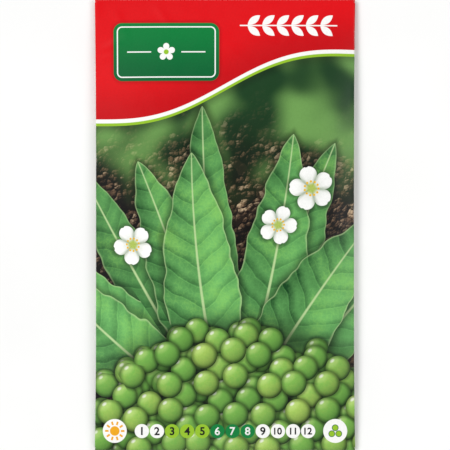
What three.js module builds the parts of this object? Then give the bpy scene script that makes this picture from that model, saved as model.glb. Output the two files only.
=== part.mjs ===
// A sealed paper seed packet with loose peas inside, lying on its back.
//
// One coated sheet is folded into an envelope. The front panel wraps round both sides, and the two
// back panels overlap in a glued seam. A flap at the bottom and a wider flap at the top fold over
// the back and are glued down. The peas lie in one layer and push the front up into a low pillow.
//
// Millimetres. +X runs across the packet, +Y towards its top edge, +Z out of the front panel. The
// origin is under the middle of the packet, on the surface that it lies on.

import * as THREE from "three";

// The packet, flat size
const WIDTH = 93;
const LENGTH = 161;
const PAPER = 0.2; // thickness of the sheet
const GLUE_GAP = 0.3; // space between two glued layers
const GLUE = 0.2; // thickness of a line of glue

// Folds: radius of the sheet's middle surface
const SIDE_FOLD = 0.5;
const END_FOLD = (PAPER + 2 * GLUE_GAP + PAPER + PAPER + 0.3) / 2;
const FOLD_STEPS = 6;

// Back seam and flaps
const SEAM_LEFT = -6; // free edge of the right back panel, which is outermost
const SEAM_RIGHT = 4; // free edge of the left back panel, which lies inside
const SEAM_STEP = [-15, -7]; // where the left panel steps up over the right one
const BOTTOM_FLAP = 16;
const TOP_FLAP = 20;
const FLAP_TAPER = 3.4; // how far each side of a flap draws in towards its free edge
const FLAP_CORNER = 2.5;
const FLAP_CLEAR = 0.5; // from a flap's free edge to where the back starts to come down
const STEP_DOWN = 10; // length over which the back comes down to the table past a flap

// The pillow that the peas make
const RISE = 6.6; // of the front's middle above its side folds
const RISE_CENTRE = -6; // the peas have settled a little towards the bottom edge
const SIDE_LIFT = 1.1; // of the side folds at mid length, off the table
const SIDE_LIFT_FROM = 33; // |x| where the back starts to leave the table
const PULL_IN = 0.5; // of each side edge at mid length
const ROUND_ACROSS = 3.2; // exponents: higher is flatter in the middle
const ROUND_ALONG = 3.4;

// Peas
const PEA_COUNT = 44;
const PEA_RADIUS = [3.45, 3.85];
const PEA_APART = 0.35; // least gap between two peas
const PEA_FIELD = { x: 27, y: 50 }; // half axes of the oval that they lie in
const PEA_SEAT = 0.12; // gap under and over a pea

const HALF = PAPER / 2;
const SIDE = WIDTH / 2 - HALF; // furthest x of the sheet's middle surface
const FOLD_Y = LENGTH / 2 - HALF - END_FOLD; // where the front turns into an end fold
const BACK_END = FOLD_Y - 0.65; // where the back panels are cut off, inside the end folds
const LAYER = PAPER + GLUE_GAP; // from one layer's middle surface to the next
const END_LEVEL = HALF + LAYER; // back panels' middle surface over a flap
const SIDE_LEVEL = END_LEVEL + SIDE_FOLD; // side folds' centre line at the two ends

const smooth = (t) => {
  const s = Math.min(1, Math.max(0, t));
  return s * s * (3 - 2 * s);
};
const lerp = (a, b, t) => a + (b - a) * t;

// How full the packet is at y, from 0 at an end fold to 1 over the middle of the peas
function fullness(y) {
  const reach = FOLD_Y + Math.sign(RISE_CENTRE - y) * RISE_CENTRE;
  return 1 - Math.min(1, Math.abs(y - RISE_CENTRE) / reach) ** ROUND_ALONG;
}

const sideFoldX = (y) => SIDE - SIDE_FOLD - PULL_IN * fullness(y);
const sideFoldZ = (y) => SIDE_LEVEL + SIDE_LIFT * fullness(y);

function frontHeight(x, y) {
  const across = Math.min(1, Math.abs(x) / sideFoldX(y));
  return sideFoldZ(y) + SIDE_FOLD + RISE * fullness(y) * (1 - across ** ROUND_ACROSS);
}

// The back lies on the table in the middle, and a layer higher where a flap lies under it
function backLevel(y) {
  const pastFlap = Math.min(
    y - (BOTTOM_FLAP - LENGTH / 2 + FLAP_CLEAR),
    LENGTH / 2 - TOP_FLAP - FLAP_CLEAR - y,
  );
  return HALF + LAYER * (1 - Math.min(1, Math.max(0, pastFlap / STEP_DOWN)));
}

function backHeight(x, y, seamStep) {
  const edge = sideFoldX(y);
  const lift = smooth((Math.abs(x) - SIDE_LIFT_FROM) / (edge - SIDE_LIFT_FROM));
  const level = backLevel(y) + LAYER * seamStep;
  return lerp(level, sideFoldZ(y) - SIDE_FOLD, lift);
}
const rightBack = (x, y) => backHeight(x, y, 0);
const leftBack = (x, y) =>
  backHeight(x, y, smooth((x - SEAM_STEP[0]) / (SEAM_STEP[1] - SEAM_STEP[0])));

// The sheet's columns, in order round the packet. Each is a function from y to the point [x, z].
const LEFT_STATIONS = [SEAM_RIGHT, -1, -7, -9, -13, -15, -24, -SIDE_LIFT_FROM, -38, -42];
const RIGHT_STATIONS = [42, 38, SIDE_LIFT_FROM, 24, 14, 4, SEAM_LEFT];
const FRONT_CELLS = 20;

function foldColumns(sign) {
  // Angles from the top of the fold to its bottom on the right, and the other way on the left
  return Array.from({ length: FOLD_STEPS - 1 }, (_, k) => {
    const turn = (Math.PI * (k + 1)) / FOLD_STEPS;
    const angle = sign > 0 ? turn : Math.PI - turn;
    return (y) => [
      sign * (sideFoldX(y) + SIDE_FOLD * Math.sin(angle)),
      sideFoldZ(y) + SIDE_FOLD * Math.cos(angle),
    ];
  });
}

const frontShares = Array.from({ length: FRONT_CELLS + 1 }, (_, i) => (2 * i) / FRONT_CELLS - 1);
const frontColumns = frontShares.map((share) => (y) => {
  const x = share * sideFoldX(y);
  return [x, frontHeight(x, y)];
});
const columns = [
  ...LEFT_STATIONS.map((x) => (y) => [x, leftBack(x, y)]),
  (y) => [-sideFoldX(y), sideFoldZ(y) - SIDE_FOLD],
  ...foldColumns(-1),
  ...frontColumns,
  ...foldColumns(1),
  (y) => [sideFoldX(y), sideFoldZ(y) - SIDE_FOLD],
  ...RIGHT_STATIONS.map((x) => (y) => [x, rightBack(x, y)]),
];
const firstFront = columns.indexOf(frontColumns[0]);
const lastFront = firstFront + FRONT_CELLS;

// Rows of the tube, from its bottom end to its top end
function between(from, to, cells) {
  return Array.from({ length: cells }, (_, i) => lerp(from, to, i / cells));
}
const bottomStep = BOTTOM_FLAP - LENGTH / 2 + FLAP_CLEAR;
const topStep = LENGTH / 2 - TOP_FLAP - FLAP_CLEAR;
const tubeRows = [
  ...between(-BACK_END, bottomStep, 3),
  ...between(bottomStep, bottomStep + STEP_DOWN, 2),
  ...between(bottomStep + STEP_DOWN, topStep - STEP_DOWN, 14),
  ...between(topStep - STEP_DOWN, topStep, 2),
  ...between(topStep, BACK_END, 4),
  BACK_END,
];

// A flap's rows past the end of the tube, as { y, z, halfWidth }: the fold, and then the flap
function flapRows(end, length) {
  const foldCentre = HALF + END_FOLD;
  const fold = Array.from({ length: FOLD_STEPS + 1 }, (_, k) => {
    const angle = (Math.PI * k) / FOLD_STEPS;
    return {
      y: end * (FOLD_Y + END_FOLD * Math.sin(angle)),
      z: foldCentre + END_FOLD * Math.cos(angle),
      halfWidth: sideFoldX(end * FOLD_Y),
    };
  });
  const root = sideFoldX(end * FOLD_Y);
  const lengths = [length / 2, length - FLAP_CORNER, length - FLAP_CORNER * 0.3, length];
  const insets = [FLAP_TAPER / 2, FLAP_TAPER, FLAP_TAPER + 0.7, FLAP_TAPER + FLAP_CORNER];
  const flap = lengths.map((reach, k) => ({
    y: end * (LENGTH / 2 - reach),
    z: HALF,
    halfWidth: root - insets[k],
  }));
  return [...fold, ...flap];
}

// The sheet's middle surface, as a grid of points where the sheet has paper and null elsewhere
function middleSurface() {
  const flapRow = (row) =>
    columns.map((_, i) =>
      i < firstFront || i > lastFront
        ? null
        : new THREE.Vector3(frontShares[i - firstFront] * row.halfWidth, row.y, row.z),
    );
  const tubeRow = (y) =>
    columns.map((column) => {
      const [x, z] = column(y);
      return new THREE.Vector3(x, y, z);
    });
  return [
    ...flapRows(-1, BOTTOM_FLAP).reverse().map(flapRow),
    ...tubeRows.map(tubeRow),
    ...flapRows(1, TOP_FLAP).map(flapRow),
  ];
}

// Gives a grid of points a thickness, half on each side, and closes it all round its edge
function thicken(rows, thickness) {
  const index = new Map();
  const points = [];
  rows.forEach((row, j) =>
    row.forEach((point, i) => {
      if (!point) return;
      index.set(`${i},${j}`, points.length);
      points.push(point);
    }),
  );
  const cells = [];
  for (let j = 0; j + 1 < rows.length; j += 1)
    for (let i = 0; i + 1 < rows[0].length; i += 1) {
      const corners = [[i, j], [i + 1, j], [i + 1, j + 1], [i, j + 1]];
      const cell = corners.map(([a, b]) => index.get(`${a},${b}`));
      if (cell.every((corner) => corner !== undefined)) cells.push(cell);
    }

  const triangles = cells.flatMap(([a, b, c, d]) => [[a, b, c], [a, c, d]]);
  const normals = points.map(() => new THREE.Vector3());
  for (const corners of triangles) {
    const [a, b, c] = corners.map((corner) => points[corner]);
    const face = b.clone().sub(a).cross(c.clone().sub(a));
    corners.forEach((corner) => normals[corner].add(face));
  }
  normals.forEach((normal) => normal.normalize());

  const edges = new Map();
  for (const cell of cells)
    cell.forEach((from, k) => {
      const to = cell[(k + 1) % 4];
      if (!edges.delete(`${to},${from}`)) edges.set(`${from},${to}`, [from, to]);
    });

  const count = points.length;
  const position = new Float32Array(count * 6);
  points.forEach((point, k) => {
    point.clone().addScaledVector(normals[k], thickness / 2).toArray(position, 3 * k);
    point.clone().addScaledVector(normals[k], -thickness / 2).toArray(position, 3 * (k + count));
  });
  const faces = triangles.flatMap(([a, b, c]) => [a, b, c, c + count, b + count, a + count]);
  for (const [from, to] of edges.values())
    faces.push(to, from, from + count, to, from + count, to + count);

  const geometry = new THREE.BufferGeometry();
  geometry.setAttribute("position", new THREE.BufferAttribute(position, 3));
  geometry.setIndex(faces);
  return geometry;
}

// A line of glue follows the back from one y to another, between two layers of the sheet
function glueLine(xs, ys, height) {
  return thicken(
    ys.map((y) => xs.map((x) => new THREE.Vector3(x, y, height(y)))),
    GLUE,
  );
}

// A small random generator with a fixed seed, so that the peas fall the same way each time
function seededRandom(seed) {
  let state = seed;
  return () => {
    state = (state + 0x6d2b79f5) | 0;
    let mixed = Math.imul(state ^ (state >>> 15), 1 | state);
    mixed = (mixed + Math.imul(mixed ^ (mixed >>> 7), 61 | mixed)) ^ mixed;
    return ((mixed ^ (mixed >>> 14)) >>> 0) / 4294967296;
  };
}

// The sheet's inside faces over and under a point
const ceiling = (x, y) => frontHeight(x, y) - HALF;
const floor = (x, y) => Math.max(leftBack(Math.min(x, SEAM_RIGHT), y), rightBack(x, y)) + HALF;

// The height of a pea's centre when it rests on the back, or null where the front is too low
function seat(x, y, radius) {
  let rest = 0;
  let room = Infinity;
  for (let ring = 0; ring <= 4; ring += 1)
    for (let k = 0; k < 8; k += 1) {
      const out = (radius * ring) / 5;
      const px = x + out * Math.cos((k * Math.PI) / 4);
      const py = y + out * Math.sin((k * Math.PI) / 4);
      const drop = Math.sqrt(radius ** 2 - out ** 2);
      rest = Math.max(rest, floor(px, py) + PEA_SEAT + drop);
      room = Math.min(room, ceiling(px, py) - PEA_SEAT - drop);
    }
  return rest <= room ? rest : null;
}

function placePeas() {
  const random = seededRandom(7);
  const peas = [];
  for (let tries = 0; tries < 60000 && peas.length < PEA_COUNT; tries += 1) {
    const angle = 2 * Math.PI * random();
    const out = Math.sqrt(random());
    const x = PEA_FIELD.x * out * Math.cos(angle);
    const y = RISE_CENTRE + PEA_FIELD.y * out * Math.sin(angle);
    const radius = lerp(PEA_RADIUS[0], PEA_RADIUS[1], random());
    const z = seat(x, y, radius);
    const clear = peas.every(
      (pea) => Math.hypot(pea.x - x, pea.y - y) > pea.radius + radius + PEA_APART,
    );
    if (z !== null && clear) peas.push({ x, y, z, radius });
  }
  return peas;
}

const paper = new THREE.MeshStandardMaterial({ color: 0x5aa860, roughness: 0.4, metalness: 0 });
const glue = new THREE.MeshStandardMaterial({ color: 0xe9e2cc, roughness: 0.35, metalness: 0 });
const pea = new THREE.MeshStandardMaterial({ color: 0xb9c27e, roughness: 0.6, metalness: 0 });

const packet = new THREE.Group();
function add(name, geometry, material) {
  const mesh = new THREE.Mesh(geometry, material);
  mesh.name = name;
  packet.add(mesh);
  return mesh;
}

add("packet_paper", thicken(middleSurface(), PAPER), paper);

// Each line of glue is turned to face up, as its rows run up the packet
const seamRows = tubeRows.map((y) => Math.max(-BACK_END + 1, Math.min(BACK_END - 1, y)));
const seamInset = 1;
add(
  "seam_glue",
  glueLine(
    [SEAM_LEFT + seamInset, SEAM_RIGHT - seamInset],
    seamRows,
    (y) => backLevel(y) + LAYER / 2,
  ),
  glue,
);
const flapGlueHalfWidth = 37;
const flapGlueWidth = 9;
const flapGlueInset = 2.5;
const bottomGlueTop = BOTTOM_FLAP - LENGTH / 2 - flapGlueInset;
const topGlueBottom = LENGTH / 2 - TOP_FLAP + flapGlueInset;
const flapGlueXs = [-flapGlueHalfWidth, flapGlueHalfWidth];
const flapGlueHeight = () => HALF + LAYER / 2;
add(
  "bottom_flap_glue",
  glueLine(flapGlueXs, [bottomGlueTop - flapGlueWidth, bottomGlueTop], flapGlueHeight),
  glue,
);
add(
  "top_flap_glue",
  glueLine(flapGlueXs, [topGlueBottom, topGlueBottom + flapGlueWidth], flapGlueHeight),
  glue,
);

placePeas().forEach(({ x, y, z, radius }, k) => {
  const name = `pea_seed_${String(k + 1).padStart(2, "0")}`;
  const mesh = add(name, new THREE.IcosahedronGeometry(radius, 1), pea);
  mesh.position.set(x, y, z);
  mesh.rotation.set(0.4 * k, 0, 0.9 * k);
});

export default packet;
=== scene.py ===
"""A sealed paper seed packet that lies on its back: one folded, printed sheet, its lines of glue and the
dried peas inside.

Shapes are worked out in millimetres, with the same names and values as the solids have, and each mesh is
scaled to metres as it is made. The sheet carries a UV map of its flat blank, and the print is drawn there
by shader nodes, also in millimetres: u runs across the front and v up it, from the front's middle.
"""

import math
import random
from functools import partial

import bmesh
import bpy
import numpy as np
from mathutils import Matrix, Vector, noise


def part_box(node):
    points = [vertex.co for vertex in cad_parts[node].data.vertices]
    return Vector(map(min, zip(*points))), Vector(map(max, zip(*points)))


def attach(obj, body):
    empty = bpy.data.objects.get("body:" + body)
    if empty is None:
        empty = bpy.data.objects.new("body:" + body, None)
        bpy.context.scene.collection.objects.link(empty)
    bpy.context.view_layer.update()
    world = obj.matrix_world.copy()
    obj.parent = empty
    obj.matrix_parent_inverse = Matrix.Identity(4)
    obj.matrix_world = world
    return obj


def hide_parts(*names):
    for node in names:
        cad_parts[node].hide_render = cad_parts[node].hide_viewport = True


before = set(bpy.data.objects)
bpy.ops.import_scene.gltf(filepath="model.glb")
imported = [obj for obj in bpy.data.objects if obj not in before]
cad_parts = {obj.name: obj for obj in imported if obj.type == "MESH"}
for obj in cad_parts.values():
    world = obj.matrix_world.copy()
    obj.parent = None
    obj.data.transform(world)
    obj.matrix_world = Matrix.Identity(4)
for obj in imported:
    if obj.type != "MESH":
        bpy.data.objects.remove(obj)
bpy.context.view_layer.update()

MM = 0.001

# The packet, flat size
WIDTH = 93
LENGTH = 161
PAPER = 0.2
GLUE_GAP = 0.3
GLUE = 0.2

# Folds: radius of the sheet's middle surface
SIDE_FOLD = 0.5
END_FOLD = (PAPER + 2 * GLUE_GAP + PAPER + PAPER + 0.3) / 2

# Back seam and flaps
SEAM_LEFT = -6
SEAM_RIGHT = 4
SEAM_STEP = (-15, -7)
BOTTOM_FLAP = 16
TOP_FLAP = 20
FLAP_TAPER = 3.4
FLAP_CORNER = 2.5
FLAP_CLEAR = 0.5
FLAP_START = 2 # where a flap lies flat, from the packet's end
STEP_DOWN = 10

# The pillow that the peas make
RISE = 6.6
RISE_CENTRE = -6
SIDE_LIFT = 1.1
SIDE_LIFT_FROM = 33
PULL_IN = 0.5
ROUND_ACROSS = 3.2
ROUND_ALONG = 3.4

HALF = PAPER / 2
SIDE = WIDTH / 2 - HALF
FOLD_Y = LENGTH / 2 - HALF - END_FOLD
BACK_END = FOLD_Y - 0.15 # where the back panels are cut off, further out than in the solids
LAYER = PAPER + GLUE_GAP
END_LEVEL = HALF + LAYER
SIDE_LEVEL = END_LEVEL + SIDE_FOLD

# The sheet's fine grid, about a millimetre a cell
FRONT_CELLS = 92
BACK_CELLS = 50
TUBE_CELLS = 158
FOLD_CELLS = 8

# The flat blank, for the UV map: half the front between its side folds, and the square that holds it
FRONT_HALF = SIDE - SIDE_FOLD
BLANK = 210

# The photograph's frame, which the packet fills from top to bottom
LENS = 200
SENSOR = 36
FRAME_HEIGHT = (LENGTH - 0.4) * MM
FRAME_LEVEL = 1.6 * MM


# Shape of the packet

def smooth(share):
    share = np.clip(share, 0, 1)
    return share * share * (3 - 2 * share)


def fullness(y):
    """How full the packet is at y, from 0 at an end fold to 1 over the middle of the peas."""
    reach = np.where(y > RISE_CENTRE, FOLD_Y - RISE_CENTRE, FOLD_Y + RISE_CENTRE)
    return 1 - np.minimum(1, np.abs(y - RISE_CENTRE) / reach) ** ROUND_ALONG


def side_fold_x(y):
    return SIDE - SIDE_FOLD - PULL_IN * fullness(y)


def side_fold_z(y):
    return SIDE_LEVEL + SIDE_LIFT * fullness(y)


def back_level(y):
    """The back lies on the table in the middle, and a layer higher where a flap lies under it."""
    past_bottom_flap = y - (BOTTOM_FLAP - LENGTH / 2 + FLAP_CLEAR)
    past_top_flap = LENGTH / 2 - TOP_FLAP - FLAP_CLEAR - y
    past_flap = np.minimum(past_bottom_flap, past_top_flap)
    return HALF + LAYER * (1 - np.clip(past_flap / STEP_DOWN, 0, 1))


def back_height(x, y, seam_step):
    edge = side_fold_x(y)
    lift = smooth((np.abs(x) - SIDE_LIFT_FROM) / (edge - SIDE_LIFT_FROM))
    level = back_level(y) + LAYER * seam_step
    return level + (side_fold_z(y) - SIDE_FOLD - level) * lift


def right_back(x, y):
    return back_height(x, y, 0)


def left_back(x, y):
    return back_height(x, y, smooth((x - SEAM_STEP[0]) / (SEAM_STEP[1] - SEAM_STEP[0])))


# What the peas and the handling leave in the front: soft bumps and fine creases

PEA_NODES = sorted(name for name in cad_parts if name.startswith("pea_seed"))
BUMP_HEIGHT = 0.34
BUMP_SPREAD = 1.5 # of a bump's foot, in radii of its pea
CREASE_SEED = 11
CREASE_WIDTH = 1.1
CREASE_HEIGHT = (0.08, 0.2)
CREASE_LENGTH = (9, 24)
SIDE_CREASES = 13
SIDE_CREASE_X, SIDE_CREASE_SPAN = 45, (-66, 64)
SIDE_CREASE_LEAN = 0.5 # radians either way
SIDE_CREASE_SHARE = 0.6 # of the length of one near a corner
CORNER_CREASES = 4
CORNER_CREASE_Y, CORNER_CREASE_SPAN = 79, (22, 44)
CORNER_CREASE_AIM = 30, (6, 34) # its run along y, and along x
SETTLE = 8 # how soon the relief starts past a side fold


def pea_places():
    """Centre and radius of each pea, in millimetres, as rows x, y, z, radius."""
    places = []
    for name in PEA_NODES:
        low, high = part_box(name)
        middle = (low + high) / 2 / MM
        places.append((*middle, (high - low).x / 2 / MM))
    return np.array(places)


def draw_creases():
    """Seeded creases as rows x, y, direction in radians, length and height."""
    draw = random.Random(CREASE_SEED)
    aim_y, aim_x = CORNER_CREASE_AIM
    creases = []
    for k in range(SIDE_CREASES):
        side = 1 if k % 2 else -1
        y = draw.uniform(*SIDE_CREASE_SPAN)
        inward = math.pi / 2 * (1 - side) + math.pi + draw.uniform(-SIDE_CREASE_LEAN, SIDE_CREASE_LEAN)
        length = draw.uniform(*CREASE_LENGTH) * SIDE_CREASE_SHARE
        creases.append((side * SIDE_CREASE_X, y, inward, length, draw.uniform(*CREASE_HEIGHT)))
    for x_side in (-1, 1):
        for y_side in (-1, 1):
            for _ in range(CORNER_CREASES):
                x = x_side * draw.uniform(*CORNER_CREASE_SPAN)
                inward = math.atan2(-y_side * aim_y, -x_side * draw.uniform(*aim_x))
                length = draw.uniform(*CREASE_LENGTH)
                creases.append((x, y_side * CORNER_CREASE_Y, inward, length, draw.uniform(*CREASE_HEIGHT)))
    return creases


PEAS = pea_places()
CREASES = draw_creases()


def relief(x, y):
    """Height of the bumps and creases above the smooth front."""
    height = np.zeros(np.broadcast(x, y).shape)
    for pea_x, pea_y, _, radius in PEAS:
        away = ((x - pea_x) ** 2 + (y - pea_y) ** 2) / (radius * BUMP_SPREAD) ** 2
        height = np.maximum(height, BUMP_HEIGHT * np.maximum(0, 1 - away) ** 2)
    for start_x, start_y, direction, length, depth in CREASES:
        along = (x - start_x) * math.cos(direction) + (y - start_y) * math.sin(direction)
        across = (y - start_y) * math.cos(direction) - (x - start_x) * math.sin(direction)
        share = np.clip(along / length, 0, 1)
        height = height + depth * np.exp(-((across / CREASE_WIDTH) ** 2)) * 4 * share * (1 - share)
    return height


def front_height(x, y):
    across = np.minimum(1, np.abs(x) / side_fold_x(y))
    dome = 1 - across ** ROUND_ACROSS
    settled = smooth(SETTLE * dome) # no relief right at a side fold
    return side_fold_z(y) + SIDE_FOLD + RISE * fullness(y) * dome + relief(x, y) * settled


# The folded sheet

def tube(y):
    """The tube's middle surface: points, a row for each y, and their place u on the blank."""
    y = y[:, None]
    edge, level = side_fold_x(y), side_fold_z(y)
    share = np.linspace(0, 1, BACK_CELLS + 1)
    turn = np.linspace(0, np.pi, FOLD_CELLS + 1)[1:-1]
    fold_u = FRONT_HALF + SIDE_FOLD * turn
    back_u = FRONT_HALF + SIDE_FOLD * np.pi + edge
    fold_x = edge + SIDE_FOLD * np.sin(turn)
    fold_z = level + SIDE_FOLD * np.cos(turn)

    left_x = SEAM_RIGHT - (edge + SEAM_RIGHT) * share
    right_x = edge + (SEAM_LEFT - edge) * share
    front_share = np.linspace(-1, 1, FRONT_CELLS + 1)
    front_x = edge * front_share
    blocks = [
        (left_x, left_back(left_x, y), -back_u - left_x),
        (-fold_x[:, ::-1], fold_z[:, ::-1], -fold_u[::-1]),
        (front_x, front_height(front_x, y), FRONT_HALF * front_share),
        (fold_x, fold_z, fold_u),
        (right_x, right_back(right_x, y), back_u - right_x),
    ]
    shapes = [(len(y), np.shape(block[0])[-1]) for block in blocks]
    x, z, u = (np.concatenate(list(map(np.broadcast_to, parts, shapes)), axis=1) for parts in zip(*blocks))
    return np.stack([x, np.broadcast_to(y, x.shape), z], axis=-1), u


# The columns of the front among all the columns across the sheet
FIRST_FRONT = BACK_CELLS + 1 + FOLD_CELLS - 1
FRONT_COLUMNS = slice(FIRST_FRONT, FIRST_FRONT + FRONT_CELLS + 1)


def flap(end, length, columns):
    """Rows from an end fold out to its flap's free edge: points, and their places u and v on the blank."""
    turn = np.linspace(0, np.pi, FOLD_CELLS + 1)
    root = float(side_fold_x(FOLD_Y)) + SIDE_FOLD
    rounded = length - FLAP_CORNER * (1 - np.sin(turn / 2)[1:])
    reach = np.concatenate([np.arange(FLAP_START, length - FLAP_CORNER), rounded])
    corner = np.clip((reach - length + FLAP_CORNER) / FLAP_CORNER, 0, 1)
    inset = FLAP_TAPER * np.minimum(1, reach / (length - FLAP_CORNER))
    inset = inset + FLAP_CORNER * (1 - np.sqrt(1 - corner**2))

    y = np.concatenate([FOLD_Y + END_FOLD * np.sin(turn), LENGTH / 2 - reach])
    z = np.concatenate([HALF + END_FOLD + END_FOLD * np.cos(turn), np.full(len(reach), HALF)])
    half_width = np.concatenate([np.full(len(turn), root), root - inset])
    v = np.concatenate([FOLD_Y + END_FOLD * turn, FOLD_Y + END_FOLD * np.pi + FOLD_Y - LENGTH / 2 + reach])

    x = half_width[:, None] * np.linspace(-1, 1, FRONT_CELLS + 1)
    points = np.full((len(y), columns, 3), np.nan)
    points[:, FRONT_COLUMNS] = np.stack(np.broadcast_arrays(x, end * y[:, None], z[:, None]), axis=-1)
    blank = np.zeros((len(y), columns, 2))
    blank[:, FRONT_COLUMNS, 0] = x
    blank[:, :, 1] = end * v[:, None]
    return points, blank


def folded_sheet():
    """The sheet's middle surface, NaN where there is no paper, and each point's place on the blank."""
    y = np.linspace(-BACK_END, BACK_END, TUBE_CELLS + 1)
    tube_points, u = tube(y)
    tube_blank = np.stack([u, np.broadcast_to(y[:, None], u.shape)], axis=-1)
    low_points, low_blank = flap(-1, BOTTOM_FLAP, u.shape[1])
    top_points, top_blank = flap(1, TOP_FLAP, u.shape[1])
    points = np.concatenate([low_points[::-1], tube_points, top_points])
    blank = np.concatenate([low_blank[::-1], tube_blank, top_blank])
    return points, blank


OUTSIDE, INSIDE, CUT_EDGE, BACK = range(4)


def thicken(points, thickness):
    """Gives a grid of points a thickness and closes it round its edges. Returns vertices, faces, which of
    OUTSIDE, INSIDE and CUT_EDGE each face is, and the grid's points that have paper."""
    present = ~np.isnan(points[..., 0])
    index = np.cumsum(present.ravel()).reshape(present.shape) - 1
    whole = present[:-1, :-1] & present[:-1, 1:] & present[1:, 1:] & present[1:, :-1]
    corners = [index[:-1, :-1], index[:-1, 1:], index[1:, 1:], index[1:, :-1]]
    cells = np.stack([corner[whole] for corner in corners], axis=1)
    middle = points[present]

    a, b, c, d = (middle[cells[:, corner]] for corner in range(4))
    face_normals = np.cross(c - a, d - b)
    normals = np.zeros_like(middle)
    for corner in range(4):
        np.add.at(normals, cells[:, corner], face_normals)
    normals /= np.linalg.norm(normals, axis=1)[:, None]
    vertices = np.concatenate([middle + normals * thickness / 2, middle - normals * thickness / 2])

    count = len(middle)
    edges = np.concatenate([cells[:, [k, (k + 1) % 4]] for k in range(4)])
    both_ways = np.isin(edges[:, 0] * count + edges[:, 1], edges[:, 1] * count + edges[:, 0])
    start, stop = edges[~both_ways].T
    rim = np.stack([stop, start, start + count, stop + count], axis=1)
    faces = np.concatenate([cells, cells[:, ::-1] + count, rim])
    kinds = np.repeat([OUTSIDE, INSIDE, CUT_EDGE], [len(cells), len(cells), len(rim)])
    return vertices, faces, kinds, present


def add_object(name, data):
    made = bpy.data.objects.new(name, data)
    bpy.context.scene.collection.objects.link(made)
    return made


def make_piece(name, vertices, faces, materials, nodes=()):
    """A smooth mesh from points in millimetres. It rides on the packet and stands for the CAD nodes."""
    mesh = bpy.data.meshes.new(name)
    mesh.from_pydata((np.asarray(vertices) * MM).tolist(), [], [list(map(int, face)) for face in faces])
    mesh.polygons.foreach_set("use_smooth", np.ones(len(mesh.polygons), bool))
    for material in materials:
        mesh.materials.append(material)
    piece = add_object(name, mesh)
    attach(piece, "root")
    if nodes:
        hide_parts(*nodes)
    return mesh


def make_sheet():
    points, blank = folded_sheet()
    vertices, faces, kinds, present = thicken(points, PAPER)
    front, back = printed_paper("printed_front", front_print), printed_paper("printed_back", back_print)
    papers = (front, plain_inside(), cut_edge(), back)
    mesh = make_piece("printed_paper_envelope", vertices, faces, papers, ["packet_paper"])
    places = np.tile(blank[present], (2, 1))
    middle = places[faces].mean(axis=1)
    over_fold = np.abs(middle) > (FRONT_HALF + np.pi * SIDE_FOLD, FOLD_Y + np.pi * END_FOLD)
    kinds[(kinds == OUTSIDE) & over_fold.any(axis=1)] = BACK
    mesh.polygons.foreach_set("material_index", kinds.astype(np.int32))
    mesh.polygons.foreach_set("use_smooth", kinds != CUT_EDGE)
    uv = mesh.uv_layers.new(name="sheet")
    uv.data.foreach_set("uv", (places / BLANK + 0.5)[faces.ravel()].astype(np.float32).ravel())
    mesh.update()


# Shader nodes, as fields that can be added and multiplied

class Field:
    """A number, vector or colour that varies over a surface: a shader node's output."""

    def __init__(self, socket):
        self.socket = socket
        self.tree = socket.id_data

    def __abs__(self):
        return maths("ABSOLUTE", self)


def give_operator(name, operation):
    """Lets a field stand on either side of an arithmetic sign."""
    setattr(Field, f"__{name}__", lambda self, other: maths(operation, self, other))
    setattr(Field, f"__r{name}__", lambda self, other: maths(operation, other, self))


for name, operation in {"add": "ADD", "sub": "SUBTRACT", "mul": "MULTIPLY", "truediv": "DIVIDE"}.items():
    give_operator(name, operation)


def add_node(tree, kind, inputs, **settings):
    """Adds a shader node. inputs gives values or fields by the socket's name or number."""
    made = tree.nodes.new("ShaderNode" + kind)
    for name, value in settings.items():
        setattr(made, name, value)
    for socket, value in inputs.items():
        if isinstance(value, Field):
            tree.links.new(value.socket, made.inputs[socket])
        else:
            made.inputs[socket].default_value = value
    return made


def field(kind, inputs, output=0, **settings):
    """One output of a new node, in the tree of the fields that it takes."""
    tree = next(value.tree for value in inputs.values() if isinstance(value, Field))
    return Field(add_node(tree, kind, inputs, **settings).outputs[output])


def maths(operation, *values):
    return field("Math", dict(enumerate(values)), operation=operation)


def vectors(operation, *values, output=0):
    return field("VectorMath", dict(enumerate(values)), output, operation=operation)


def after(at, colour):
    """The same position, but worked out only once the colour is. A shader works out whatever is ready and
    keeps it on a small stack, so each motif waits here for the picture under it."""
    nearly_nothing = (1e-7,) * 3
    return vectors("MULTIPLY_ADD", colour, nearly_nothing, at)


def shade(colour, light):
    """The colour times a number from 0 to 1."""
    return mix(BLACK, colour, light)


length_of = partial(vectors, "LENGTH", output="Value")
least = partial(maths, "MINIMUM")
most = partial(maths, "MAXIMUM")
power = partial(maths, "POWER")


def ramp(value, start, stop, low=0.0, high=1.0):
    """Goes smoothly from low to high as value goes from start to stop."""
    inputs = {0: value, 1: start, 2: stop, 3: low, 4: high}
    return field("MapRange", inputs, interpolation_type="SMOOTHSTEP")


def mix(a, b, share):
    """Colour a where share is 0 and b where it is 1."""
    return field("Mix", {0: share, 6: a, 7: b}, output=2, data_type="RGBA")


def split(vector):
    """The x, y and z of a vector."""
    made = add_node(vector.tree, "SeparateXYZ", {0: vector})
    return tuple(map(Field, made.outputs))


def join(x, y):
    return field("CombineXYZ", {0: x, 1: y})


def place(at, origin, turn=0.0, scale=(1.0, 1.0)):
    """The position seen from origin, on axes turned left by that many degrees, in units of scale."""
    angles = (0, 0, math.radians(turn))
    inputs = {"Vector": at, "Location": (*origin, 0), "Rotation": angles, "Scale": (*scale, 1)}
    return field("Mapping", inputs, vector_type="TEXTURE")


def choose(a, b, share):
    """Vector a where share is 0 and b where it is 1."""
    return field("Mix", {0: share, 4: a, 5: b}, output=1, data_type="VECTOR")


def random_number(value):
    """A number from 0 to 1 for each whole value."""
    return field("TexWhiteNoise", {"W": value}, output="Value", noise_dimensions="1D")


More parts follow.
